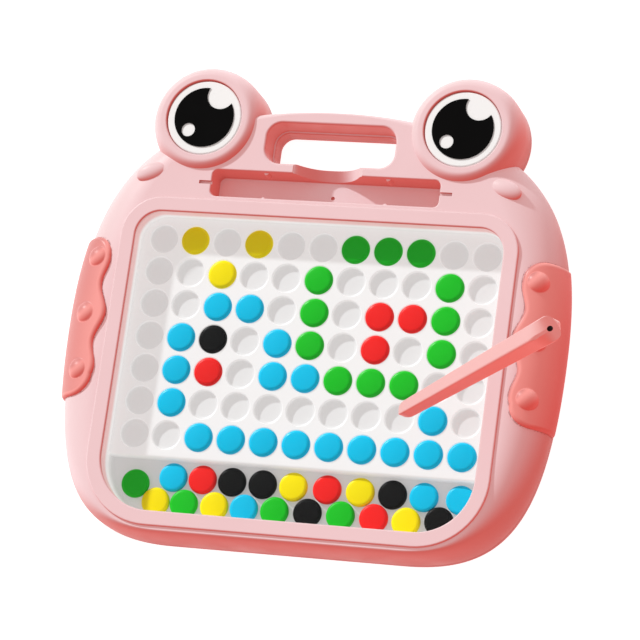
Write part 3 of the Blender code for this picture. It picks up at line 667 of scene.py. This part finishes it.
def front_case(pink):
    """The front half: case, bezel, eye bulges and cheeks joined, then hollowed and cut."""
    low, edge = PART_LINE + GAP / 2, 0.0009
    shell = ringed("case_front", on_board(flank(egg(OUTER), egg(INNER), low, DECK, 26)))
    rounding = bend((BEZEL_BAND, BEZEL - edge), (BEZEL_BAND - edge, BEZEL), steps=7)
    bezel = carried("bezel_band", opening, run((BEZEL_BAND, DECK - 0.002), rounding))
    join(shell, bezel, turned("eye_bulges", eye_line(low), both_eyes(), 128))
    join(shell, cheek(-1), cheek(1))
    cut(shell, case_hollow())
    cut(shell, prism("window_pocket", opening(0.0041), DECK - WALL - 0.001, WINDOW_TOP + GAP))
    cut(shell, window_mouth())
    cut(shell, handle_cutter(), slot_cutter(), notch_cutter())
    cut(shell, slit_cutter(-1), slit_cutter(1))
    cut(shell, turned("tether_cutter", pillar(TETHER_HOLE[2], 0.0, 0.02), [TETHER_HOLE[:2]], 24))
    cut(shell, eye_recesses())
    cut(shell, turned("pilots", pillar(SCREW_SHANK_RADIUS + GAP, 0, SCREW_END + 0.001), SCREWS, 16))
    join(shell, slot_nubs())
    cut(shell, grip_seat(-1), grip_seat(1))
    smooth(shell)
    return finish(shell, pink, "case", "pink_abs", "front_shell")


def back_hollow():
    """Inside of the back half: the handle's wall, the screw bosses and three ribs stay standing."""
    mouth = 0.03
    hollow = prism("back_hollow", grown(egg(OUTER, 12, 16), -WALL - 0.002), WALL, mouth)
    eye_foot = run((0, WALL), (0.0255, WALL), (EYE_HOLLOW_RADIUS, 0.004),
                   (EYE_HOLLOW_RADIUS, mouth), (0, mouth))
    join(hollow, turned("eye_foot_hollows", eye_foot, both_eyes(), 32))
    tray_foot = PLATE_TOP - CUP_DEPTH - FLOOR_THICKNESS - GAP
    ribs = [block("rib", x - 0.001, x + 0.001, -0.056, 0.058, UNDER, tray_foot) for x in (-0.060, 0.0, 0.060)]
    return cut(hollow, prism("back_handle_wall", handle(WALL), UNDER, OVER), posts(), *ribs)


def screw_wells():
    """A flared well for each screw's head, and a bore for its shank."""
    head, shank = SCREW_HEAD_RADIUS + GAP, SCREW_SHANK_RADIUS + GAP
    flare, seat, end = 0.0006, SCREW_HEAD[1] + GAP, 0.02
    line = run((0, UNDER), (head + flare, UNDER), bend((head + flare, 0), (head, flare), False, 5),
               (head, seat), (shank, seat), (shank, end), (0, end))
    return turned("screw_wells", line, SCREWS, 40)


def back_case(pink):
    """The back half: a flat plate with a rounded edge and a straight wall up to the parting line."""
    top, edge = PART_LINE - GAP / 2, 0.0040
    outer = egg(OUTER)
    line = run(bend((-edge, 0), (0, edge), False, 8), (0, top - CHAMFER), (-CHAMFER, top))
    shell = carried("case_back", lambda out: grown(outer, out), line)
    foot = run((0, 0), bend((EYE_BASE_RADIUS - edge, 0), (EYE_BASE_RADIUS, edge), False, 8),
               (EYE_BASE_RADIUS, top - CHAMFER), (EYE_BASE_RADIUS - CHAMFER, top), (0, top))
    join(shell, turned("eye_feet", foot, both_eyes(), 128))
    cut(shell, back_hollow())
    cut(shell, handle_cutter(), screw_wells())
    smooth(shell)
    return finish(shell, pink, "case", "pink_abs", "back_shell")


# ---------------------------------------------------------------- tray and beads

def cup_centres():
    row, column = np.mgrid[0:ROWS, 0:COLUMNS]
    return np.column_stack([(column.ravel() - COLUMNS // 2) * PITCH, (ROWS // 2 - row.ravel()) * PITCH])


def well(name, floor, fillet):
    """The room inside the tray's wall, down to a floor with a filleted edge."""
    line = run(bend((-fillet, floor), (0, floor + fillet), False, 5), (0, OVER))
    return carried(name, lambda out: opening(0.0006 + out), line)


def trough_cutter():
    """The trough: the tray's room, kept to below the front edge of the cup plate, which is rounded."""
    ledge, far = 0.0012, 0.2

    def before_plate(out):
        edge = TROUGH_EDGE + out
        return np.array(((-far, -far), (far, -far), (far, edge), (-far, edge)))

    line = run((0, UNDER), bend((0, PLATE_TOP - ledge), (ledge, PLATE_TOP), steps=6), (ledge, OVER + 0.01))
    return combine(well("trough", TROUGH_FLOOR, 0.002), "INTERSECT", [carried("limit", before_plate, line)])


def cup_cutter():
    """All the cups: a flat floor, a fillet up to the wall, and a lip that opens out."""
    floor, fillet, lip, roll, above = PLATE_TOP - CUP_DEPTH, 0.0018, 0.0004, 0.0006, PLATE_TOP + 0.002
    line = run((0, floor), bend((CUP_RADIUS - fillet, floor), (CUP_RADIUS, floor + fillet), False, 7),
               bend((CUP_RADIUS, PLATE_TOP - roll), (CUP_RADIUS + lip, PLATE_TOP), steps=5),
               (CUP_RADIUS + lip, above), (0, above))
    return turned("cups", line, cup_centres(), 48)


def bead_tray(white):
    """One moulding: rounded cups in a plate, the trough below it, and a wall all round up to the window."""
    wall, foot = 0.0029, TROUGH_FLOOR - FLOOR_THICKNESS
    tray = carried("bead_tray_moulding", opening, ((wall, foot), (wall, WINDOW_FOOT - GAP)))
    under = PLATE_TOP - CUP_DEPTH - FLOOR_THICKNESS
    underside = block("underside", -0.2, 0.2, TROUGH_EDGE + 0.002, 0.2, UNDER, under)
    cut(tray, well("chamber", PLATE_TOP, 0.0008), trough_cutter(), underside)
    cut(tray, cup_cutter())
    smooth(tray)
    return finish(tray, white, "case", "white_abs", "bead_tray")


def bead_line(low):
    """A bead: a rounded foot, a short straight side, a broad rolled edge and a barely domed top."""
    foot, roll, dome = 0.0012, 0.0015, 0.0003
    top = low + BEAD_HEIGHT
    return run((0, low), bend((BEAD_RADIUS - foot, low), (BEAD_RADIUS, low + foot), False, 6),
               bend((BEAD_RADIUS, top - dome - roll), (BEAD_RADIUS - 1.3 * roll, top - dome), steps=8),
               (BEAD_RADIUS * 0.4, top - dome * 0.2), (0, top))


def beads(colours):
    """A bead in each filled cup, then the spare ones in the trough."""
    for node in sorted(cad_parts):
        if node.startswith("bead_r"):
            low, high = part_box(node)
            colour = node.split("_")[-1]
            centre = ((low[0] + high[0]) / 2, (low[1] + high[1]) / 2 - BOARD_Y)
            bead = smooth(turned("disc" + node[4:], bead_line(low[2]), [centre], 48), 40, False)
            finish(bead, colours[colour], node, "bead_" + colour, node)
    for group, places in TROUGH.items():
        node = "trough_beads_" + group
        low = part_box(node)[0][2]
        for i, (x, y, colour) in enumerate(places):
            name = "spare_%s_%d_%s" % (group, i + 1, colour)
            bead = smooth(turned(name, bead_line(low), [(x / 1000, y / 1000)], 48), 40, False)
            finish(bead, colours[colour], node, "bead_" + colour, node)


# ---------------------------------------------------------------- eyes and grips

def eyes(white, black):
    """A white disc in each bulge, and on it a pupil of black ink with two round glints left out."""
    roll, edge = 0.0009, 0.00015
    disc_edge = bend((EYE_DISC_RADIUS, DISC_TOP - roll), (EYE_DISC_RADIUS - roll, DISC_TOP), steps=7)
    disc = run((0, DISC_FLOOR), (EYE_DISC_RADIUS, DISC_FLOOR), disc_edge, (0, DISC_TOP))
    low = DISC_TOP + 0.0002
    high = low + PUPIL_THICKNESS
    ink_edge = bend((PUPIL_RADIUS, high - edge), (PUPIL_RADIUS - edge, high), steps=3)
    ink = run((0, low), (PUPIL_RADIUS, low), ink_edge, (0, high))
    for at, side in zip(both_eyes(), ("left", "right")):
        eye = smooth(turned(side + "_eye_white", disc, [at], 128))
        finish(eye, white, "case", "eye_white", side + "_eye_disc")
        pupil = turned(side + "_eye_pupil", ink, [at], 128)
        glints = [turned("glint", pillar(r, 0.02, OVER), [(at[0] + x, at[1] + y)], 72) for x, y, r in GLINTS]
        finish(smooth(cut(pupil, *glints)), black, "case", "eye_black", side + "_pupil")


def flank_at(y, angle):
    """Point and outward normal of the right flank at a board y and an angle of its quarter ellipse.

    The two outlines are mixed by the cosine of the angle; Newton steps find the place that gives y.
    """
    outer, inner = egg(OUTER, *FINE_STEPS), egg(INNER, *FINE_STEPS)
    place = np.arange(len(outer))[RIGHT_SIDE].astype(float)

    def along(values, at):
        return np.interp(at, place, values[RIGHT_SIDE])

    share = np.cos(np.maximum(angle, 0))

    def between(inner_values, outer_values, at):
        return along(inner_values, at) * (1 - share) + along(outer_values, at) * share

    outer_slope, inner_slope = np.gradient(outer, axis=0), np.gradient(inner, axis=0)
    at = np.interp(y, outer[RIGHT_SIDE, 1], place)
    for _ in range(6):
        there = between(inner[:, 1], outer[:, 1], at)
        slope = between(inner_slope[:, 1], outer_slope[:, 1], at)
        at = at + (y - there) / slope
    spot = [between(inner[:, k], outer[:, k], at) for k in (0, 1)]
    height = WIDEST + (DECK - WIDEST) * np.sin(angle)
    drift = [between(inner_slope[:, k], outer_slope[:, k], at) for k in (0, 1)]
    fall = np.sin(np.maximum(angle, 0))
    lean = [(along(inner[:, k], at) - along(outer[:, k], at)) * fall for k in (0, 1)]
    points = np.stack([*spot, height], axis=-1)
    climb = (DECK - WIDEST) * share + 1e-9
    normals = np.cross(np.stack([*drift, 0 * height], axis=-1), np.stack([*lean, climb], axis=-1))
    return points, normals / np.linalg.norm(normals, axis=-1, keepdims=True)


def grip_inner_edge(y):
    """The grip's wavy inner edge: a cosine wave on a shallow bow, with a quarter circle at each end."""
    low, high = GRIP_SPAN[0] + GRIP_CORNER, GRIP_SPAN[1] - GRIP_CORNER
    held = np.clip(y, low, high)
    wave = GRIP_WAVE * np.cos(2 * np.pi * (held - GRIP_PEAK_Y) / GRIP_WAVE_LENGTH)
    bow = GRIP_BOW * ((held - GRIP_PEAK_Y) / (GRIP_SPAN[1] - GRIP_PEAK_Y)) ** 2
    past = np.minimum(np.abs(y - held), GRIP_CORNER)
    return GRIP_EDGE - wave + bow + GRIP_CORNER - np.sqrt(GRIP_CORNER ** 2 - past ** 2)


def grip_patch(grow, along, down):
    """The right grip's patch of flank as a grid along it and down the flank, its border moved out by grow.

    Returns its points, their outward normals and how far each is from the border.
    """
    middle, half = sum(GRIP_SPAN) / 2, (GRIP_SPAN[1] - GRIP_SPAN[0]) / 2
    across = -np.cos(np.linspace(0, np.pi, along))
    y, held = middle + (half + grow) * across, middle + half * across
    outer, inner = egg(OUTER, *FINE_STEPS)[RIGHT_SIDE], egg(INNER, *FINE_STEPS)[RIGHT_SIDE]
    outer_x, inner_x = np.interp(y, outer[:, 1], outer[:, 0]), np.interp(y, inner[:, 1], inner[:, 0])
    start = np.arccos(np.clip((grip_inner_edge(held) - grow - inner_x) / (outer_x - inner_x), 0, 1))
    end = -(WIDEST - GRIP_FOOT + grow) / (DECK - WIDEST)
    share = (1 - np.cos(np.linspace(0, np.pi, down))) / 4 + np.linspace(0, 0.5, down)
    angle = start[:, None] + (end - start[:, None]) * share
    points, normals = flank_at(y[:, None] + 0 * angle, angle)
    border = np.vstack([points[0], points[-1], points[:, 0], points[:, -1]])
    away = np.sqrt(((points[:, :, None] - border) ** 2).sum(axis=-1)).min(axis=2)
    return points, normals, away


def slab(name, upper, lower, sign):
    """A closed solid between two grids, walled round its border. A sign of -1 mirrors it to the left."""
    rows, columns = upper.shape[:2]
    top = np.arange(rows * columns).reshape(rows, columns)
    foot = top + top.size
    rim = np.concatenate([top[0, :-1], top[:-1, -1], top[-1, :0:-1], top[:0:-1, 0]])
    after = np.roll(rim, -1)
    faces = np.vstack([
        np.stack([top[:-1, :-1], top[:-1, 1:], top[1:, 1:], top[1:, :-1]], axis=-1).reshape(-1, 4)[:, ::-1],
        np.stack([foot[:-1, :-1], foot[:-1, 1:], foot[1:, 1:], foot[1:, :-1]], axis=-1).reshape(-1, 4),
        np.stack([rim, rim + top.size, after + top.size, after], axis=-1)[:, ::-1],
    ])
    points = np.vstack([upper.reshape(-1, 3), lower.reshape(-1, 3)]) * (sign, 1, 1)
    return new_object(name, on_board(points), faces[:, ::sign])


def grip_seat(sign):
    """A shallow bed for the grip, a little wider than it, so that a dark line shows all round."""
    points, normals, _ = grip_patch(SEAT_MARGIN, 120, 30)
    return slab("grip_seat", points + normals * 0.004, points - normals * SEAT_DEPTH, sign)


def grips(coral):
    """Each grip rises off the flank by a quarter ellipse of its distance from the border, plus three bumps."""
    points, normals, away = grip_patch(0.0, 250, 84)
    rise = GRIP_THICKNESS * np.sqrt(1 - (1 - np.clip(away / GRIP_ROLL, 0, 1)) ** 2)
    turn = math.acos((BUMP_X - INNER[3][0]) / (OUTER[3][0] - INNER[3][0]))
    for i in (-1, 0, 1):
        centre = flank_at(np.array([GRIP_PEAK_Y + i * GRIP_WAVE_LENGTH]), np.array([turn]))[0][0]
        reach = np.linalg.norm(points - centre, axis=-1) / BUMP_RADIUS
        rise = rise + BUMP_HEIGHT * np.clip(1 - reach ** 2, 0, 1) ** 0.8
    for sign, side in ((-1, "left"), (1, "right")):
        upper, lower = points + normals * rise[..., None], points - normals * GRIP_SINK
        made = slab(side + "_side_grip", upper, lower, sign)
        finish(smooth(made, 50, False), coral, "case", "coral_abs", side + "_grip")


# ---------------------------------------------------------------- screws and pen

def screws(steel):
    """Pan heads with a cross recess on plain shanks."""
    low, high = SCREW_HEAD
    foot, point = 0.0010, 0.0010
    line = run((0, low), bend((SCREW_HEAD_RADIUS - foot, low), (SCREW_HEAD_RADIUS, low + foot), False, 5),
               (SCREW_HEAD_RADIUS, high), (SCREW_SHANK_RADIUS, high), (SCREW_SHANK_RADIUS, SCREW_END - point),
               (0.0004, SCREW_END), (0, SCREW_END))
    reach, half, depth = 0.0015, 0.00028, 0.0009
    for i, (x, y) in enumerate(SCREWS):
        made = turned("pan_screw_%d" % (i + 1), line, [(x, y)], 40)
        cut(made, block("cross", x - reach, x + reach, y - half, y + half, low - 0.001, low + depth),
            block("cross", x - half, x + half, y - reach, y + reach, low - 0.001, low + depth))
        finish(smooth(made), steel, "case", "zinc_steel", "case_screw_%d" % (i + 1))


def pen_section():
    """A unit square on its corner with round corners, as columns of across and up."""
    half, corner, turn = 0.5, 0.13, math.radians(45)
    outline = rounded_box((-half, half, -half, half), corner, corner, steps=8)
    return outline @ np.array(((math.cos(turn), math.sin(turn)), (-math.sin(turn), math.cos(turn))))


def soft_low(first, second, blend):
    """The lower of two heights, with the crease between them rounded over the blend."""
    share = np.clip(0.5 + 0.5 * (second - first) / blend, 0, 1)
    return second * (1 - share) + first * share - blend * share * (1 - share)


def laid_along(start, axis):
    """The place of a piece drawn along X from its start, with its ridge turned up."""
    axis, ridge = Vector(axis).normalized(), Vector(PEN_RIDGE)
    ridge = (ridge - axis * ridge.dot(axis)).normalized()
    turn = Matrix((axis, ridge.cross(axis), ridge)).transposed().to_4x4()
    return Matrix.Translation(on_board(start)) @ turn


def tether_place():
    """The tether hole's place in the pen's own drawing: upright, and leaning a little towards the end."""
    return Matrix.Translation((PEN_LENGTH - TETHER_BACK, 0, 0.0010)) @ Matrix.Rotation(TETHER_LEAN, 4, "Y")


def shaft_rings():
    """The section carried along X: it widens evenly, with an elliptic nose and a blunter, cubed-circle tail.

    The tail's top is planed down at a slope.
    """
    ends = 1 - np.cos(np.linspace(0, np.pi / 2, 14))
    start, bevel, end = PEN_NOSE, PEN_LENGTH - 0.018, PEN_LENGTH - PEN_TAIL
    x = run_values(ends * start, np.linspace(start, bevel, 40), np.linspace(bevel, end, 26),
                   PEN_LENGTH - PEN_TAIL * ends[::-1])
    nose = np.sqrt(1 - np.clip(1 - x / PEN_NOSE, 0, 1) ** 2)
    close = nose * (1 - np.clip(1 - (PEN_LENGTH - x) / PEN_TAIL, 0, 1) ** 3) ** (1 / 3)
    side = (PEN_TIP_SIDE + (PEN_TAIL_SIDE - PEN_TIP_SIDE) * x / PEN_LENGTH) * np.maximum(close, 0.02)
    section = pen_section()
    across, up = side[:, None] * section[:, 0], side[:, None] * section[:, 1]
    plane = 0.0062 - math.tan(PEN_SLOPE) * (x - PEN_SLOPE_START)
    up = soft_low(up, plane[:, None] + 0 * up, 0.0010)
    return np.stack([x[:, None] + 0 * up, across, up], axis=-1)


def pen(coral):
    """The pen's shaft with a tether hole through its tail and a closed seat round the magnet in its tip."""
    shaft = ringed("pen_shaft", shaft_rings())
    eyelet = turned("eyelet", pillar(TETHER_RADIUS, -0.02, 0.02), [(0, -BOARD_Y)], 32)
    eyelet.data.transform(tether_place())
    cut(shaft, eyelet)
    shaft.data.transform(laid_along(PEN_TIP_AT, PEN_AXIS))
    seat_line = pillar(MAGNET_RADIUS + GAP, MAGNET_SPAN[0] - GAP, MAGNET_SPAN[1] + GAP)
    seat = turned("magnet_seat", seat_line, [(0, -BOARD_Y)], 24)
    seat.data.transform(laid_along(MAGNET_LINE_AT, MAGNET_AXIS) @ Matrix.Rotation(math.pi / 2, 4, "Y"))
    cut(shaft, seat)
    shaft.visible_shadow = False
    return finish(smooth(shaft), coral, "pen", "coral_abs", "pen_body", "pen_tip")


# ---------------------------------------------------------------- studio

def camera():
    """Long lens, high over the board's lower right."""
    lens = bpy.data.cameras.new("camera")
    lens.lens, lens.sensor_width = 182.37, 36.0
    lens.clip_start, lens.clip_end = 0.1, 10.0
    made = bpy.data.objects.new("camera", lens)
    made.location = (0.47274, -0.39407, 1.51572)
    made.rotation_euler = [math.radians(angle) for angle in (16.170, 15.299, 7.996)]
    bpy.context.scene.collection.objects.link(made)
    bpy.context.scene.camera = made


def key_light():
    """A distant light with a small disc, so that shadows have a slightly soft edge."""
    data = bpy.data.lights.new("key", "SUN")
    data.energy, data.angle = 3.3, math.radians(3)
    data.color = linear("FCFFFF")[:3]
    made = bpy.data.objects.new("key", data)
    made.rotation_euler = (-Vector(LIT_FROM)).to_track_quat("-Z", "Y").to_euler()
    bpy.context.scene.collection.objects.link(made)


def studio():
    """Even, faintly warm surroundings, one low key light from the upper left, and a white floor."""
    world = bpy.data.worlds.new("studio")
    world.use_nodes = True
    background = world.node_tree.nodes["Background"]
    background.inputs["Color"].default_value = (1.0, 0.91, 0.89, 1.0)
    background.inputs["Strength"].default_value = 0.58
    bpy.context.scene.world = world
    key_light()
    reach, low = 3.0, -GAP
    plan = ((-reach, -reach), (reach, -reach), (reach, reach), (-reach, reach))
    corners = np.array([(x, y, low) for x, y in plan])
    floor = new_object("studio_floor", corners, np.array(((0, 1, 2, 3),)))
    floor.data.materials.append(studio_paper())
    bpy.context.scene.view_settings.view_transform = "Standard"


# ---------------------------------------------------------------- build

BEAD_COLOURS = {"blue": "08C6F0", "green": "18C422", "red": "F52220", "yellow": "FAEA00", "black": "141312"}

camera()
studio()
pink = pink_abs()
front_case(pink)
back_case(pink)
bead_tray(white_abs())
beads({name: bead_abs(name, colour) for name, colour in BEAD_COLOURS.items()})
eyes(eye_white(), eye_black())
# Painted shade B02C26, face C6938E and painted light 926E6C for the grips.
grips(coral_abs("moulded_coral_abs", "B02C26", "C6938E", "926E6C", 0.36))
pen(pen_abs())
screws(zinc_steel())
for node, material in (("window_panel", clear_acrylic()), ("pen_magnet", nickel_plate())):
    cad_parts[node].data.materials.clear()
    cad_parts[node].data.materials.append(material)

bpy.context.view_layer.update()
